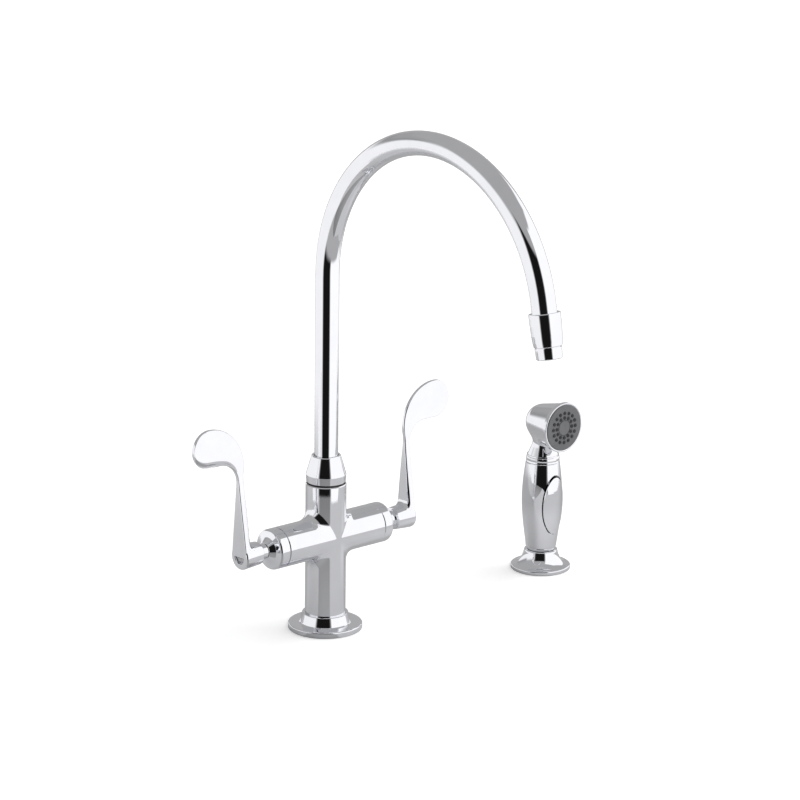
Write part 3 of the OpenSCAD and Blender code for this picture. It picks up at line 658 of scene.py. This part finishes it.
def arm(bm, lines, along, end, finish):
    """One of the body's four arms, along the axis 0 or 2: from its seams to its end, and on
    over the end's outline of (radius, place along the arm) points."""
    start = lines[0] + lines[1][-2:0:-1]
    sign = 1 if end > 0 else -1
    rings = []
    for point in start:
        side = point[0] if along == 2 else point[2]
        angle = math.atan2(point[1], side)
        cos, sin = math.cos(angle), math.sin(angle)
        way = (cos, sin, 0) if along == 2 else (0, sin, cos)
        line = [point]
        for j in range(1, 29):
            t = mix(abs(point[along]), abs(end), (j / 28) ** 1.5) * sign
            base = (0, 0, t) if along == 2 else (t, 0, 0)
            k = outward(cross, base, way, 40)
            line.append(tuple(b + k * w for b, w in zip(base, way)))
        for r, t in finish:
            line.append((r * cos, r * sin, t) if along == 2 else (t, r * sin, r * cos))
        rings.append([bm.verts.new((x / 1000, y / 1000, (z + AXIS_Z) / 1000))
                      for x, y, z in line])
    for i, ring in enumerate(rings):
        other = rings[(i + 1) % len(rings)]
        for j in range(len(ring) - 1):
            bm.faces.new((ring[j], other[j], other[j + 1], ring[j + 1]))
    bm.faces.new([ring[-1] for ring in rings])


def make_body():
    """The body: upright and barrel, with the bores that its mates sit in."""
    bm = bmesh.new()
    lines = {(r, u): seam(r, u, 64) for r in (-1, 1) for u in (-1, 1)}
    arm(bm, (lines[1, 1], lines[-1, 1]), 2, 40.0,
        [(14.4, 40.6), (12.4, 40.6), (12.4, 49.6), (9.4, 49.6), (9.4, 9.6)])
    arm(bm, (lines[1, -1], lines[-1, -1]), 2, -69.0, [(13.45, -69.0), (13.45, -59.0)])
    for side in (-1, 1):
        arm(bm, (lines[side, 1], lines[side, -1]), 0, 45.0 * side,
            [(14.0, 45.0 * side), (14.0, BARREL_END * side), (10.4, BARREL_END * side),
             (10.4, 21.0 * side)])
    bmesh.ops.remove_doubles(bm, verts=bm.verts, dist=0.000001)
    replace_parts(piece("faucet_body_shell", bm, CHROME, "base"), "faucet_body")


# --- sprayer ------------------------------------------------------------------------------

HEAD_AT = Vector((0.22, 0, 0.118))      # the centre of the ball at the head's back
HEAD_R = 13.9
HEAD_CONE = math.atan(0.2285)           # the half angle at which the bell opens to the face
FACE_R, FACE_H = 18.6, 19.0             # the bell's front edge
HEAD_NECK_R = 8.02
HEAD_NECK_LEAN = math.radians(8)
HEAD_FOOT = 18.6                        # how far below the centre the neck ends
HEAD_BLEND = 6.0


def head(x, y, z):
    """The sprayer's bell-shaped head, about its own centre, and the neck that it grows from."""
    h = -y
    bell = math.hypot(x, y, z) - HEAD_R
    if h > -HEAD_R * math.sin(HEAD_CONE):
        bell = math.hypot(x, z) * math.cos(HEAD_CONE) - HEAD_R - h * math.sin(HEAD_CONE)
    middle = -(z + 17.8) * math.tan(HEAD_NECK_LEAN)
    neck = math.hypot(x, (y - middle) * math.cos(HEAD_NECK_LEAN)) - HEAD_NECK_R
    joined = blend(bell, neck, HEAD_BLEND) if z < 0 else bell
    return max(joined, -HEAD_FOOT - z, h - FACE_H)


def make_head():
    """The head of the sprayer, in rings about its axis: over the ball, then along the bell,
    whose last ring is its front edge."""
    bm = bmesh.new()
    count = 200
    opening = math.degrees(HEAD_CONE)
    aims = []
    for i in range(1, 46):
        a = math.radians((90 - opening) * i / 45)
        aims.append((HEAD_R * math.sin(a), -HEAD_R * math.cos(a)))
    ball_end = aims[-1]
    for i in range(1, 41):
        aims.append((mix(ball_end[0], FACE_R, i / 40), mix(ball_end[1], FACE_H, i / 40)))
    rings = []
    for i, (r, h) in enumerate(aims):
        ring = []
        for j in range(count):
            a = 2 * math.pi * j / count
            aim = Vector((r * math.cos(a), -h, r * math.sin(a)))
            way = aim.normalized()
            k = aim.length
            if i < len(aims) - 1:
                k = outward(head, (0, 0, 0), way, 45)
            ring.append(bm.verts.new(HEAD_AT + way * (k / 1000)))
        rings.append(ring)
    skin(bm, rings)
    bm.faces.new(rings[0])
    bm.faces.new(rings[-1])
    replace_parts(piece("spray_head_shell", bm, CHROME, "sprayer"), "spray_head")


def make_flare():
    """The flare below the sprayer's neck: two straight slopes with a soft edge between them,
    over the bead of the solids."""
    bm = bmesh.new()
    low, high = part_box("spray_bead")
    foot = 1000 * (high[0] - low[0]) / 2 + 0.12
    flare = [(7.0, 86.7), (foot - 0.2, 86.7)]
    for i in range(52):
        z = mix(86.9, 103.0, i / 51)
        slopes = blend(foot - 0.165 * (z - 86.8), 8.4 + 0.4136 * (100.6 - z), 0.5)
        flare.append((-blend(-slopes, -8.1, 1.2), z))
    flare.append((7.0, 103.0))
    lathe(bm, flare, Matrix.Translation(SPRAYER_AT), 128)
    piece("spray_flare", bm, CHROME, "sprayer")


def make_lip():
    """The bright rounded lip round the spray face."""
    bm = bmesh.new()
    lip = [(18.05, 20.9), (19.47, 20.9), (19.5, 21.7)]
    lip += arc((18.75, 21.9), 0.72, 100, 6)
    lip.append((18.05, 22.4))
    place = Matrix.Translation(HEAD_AT) @ Matrix.Rotation(math.radians(90), 4, "X")
    lathe(bm, lip, place, 160)
    piece("face_lip", bm, CHROME, "sprayer")


# --- the scene ----------------------------------------------------------------------------

make_camera()
make_world()
make_floor()
make_sun()
bpy.context.scene.view_settings.view_transform = "Standard"

CHROME = metal("chrome", (0.932, 0.936, 0.972), (0.902, 0.906, 0.942), 0.012, 0.02, wave=0.01)
BRASS = metal("brass", (0.80, 0.62, 0.33), (0.70, 0.53, 0.27), 0.16, 0.12, brushed=0.2)
STEEL = metal("steel", (0.70, 0.70, 0.71), (0.60, 0.60, 0.61), 0.20, 0.12, brushed=0.3)
RUBBER = moulded("rubber", (0.028, 0.028, 0.030), (0.018, 0.018, 0.020), 0.62, 0.5)
PLASTIC = moulded("plastic", (0.42, 0.43, 0.45), (0.37, 0.38, 0.40), 0.42, 0.25)
DISC = moulded("disc", (0.150, 0.152, 0.159), (0.124, 0.126, 0.132), 0.42, 0.25)
SOFT = moulded("soft_rubber", (0.040, 0.041, 0.044), (0.032, 0.033, 0.035), 0.5, 0.4)

# What isn't chrome.
MADE_OF = (
    (RUBBER, ("base_gasket", "deck_washer", "spout_o_rings", "aerator_washer",
              "holder_gasket")),
    (BRASS, ("mounting_shank", "mounting_nut", "hot_inlet_tail", "cold_inlet_tail",
             "spray_outlet_tail", "hot_cartridge", "cold_cartridge", "hot_stem", "cold_stem",
             "spout_spigot", "holder_shank", "holder_nut")),
    (STEEL, ("clamp_washer", "holder_washer", "hot_lever_screw", "cold_lever_screw",
             "trigger_pin", "valve_plunger")),
    (PLASTIC, ("thrust_washer", "holder_bush", "spray_guide")),
    (DISC, ("spray_face",)),
)
for name, node in NODES.items():
    material = next((made for made, names in MADE_OF if name in names), CHROME)
    node.data.materials.clear()
    node.data.materials.append(material)

SMOOTHING = smoothing()
for name in ("spray_grip", "trigger", "holder_flange"):
    NODES[name].modifiers.new("smoothing", "NODES").node_group = SMOOTHING

make_groove_dark_ring()
make_nozzles()
make_levers()
make_bonnets()
make_body()
make_head()
make_flare()
make_lip()
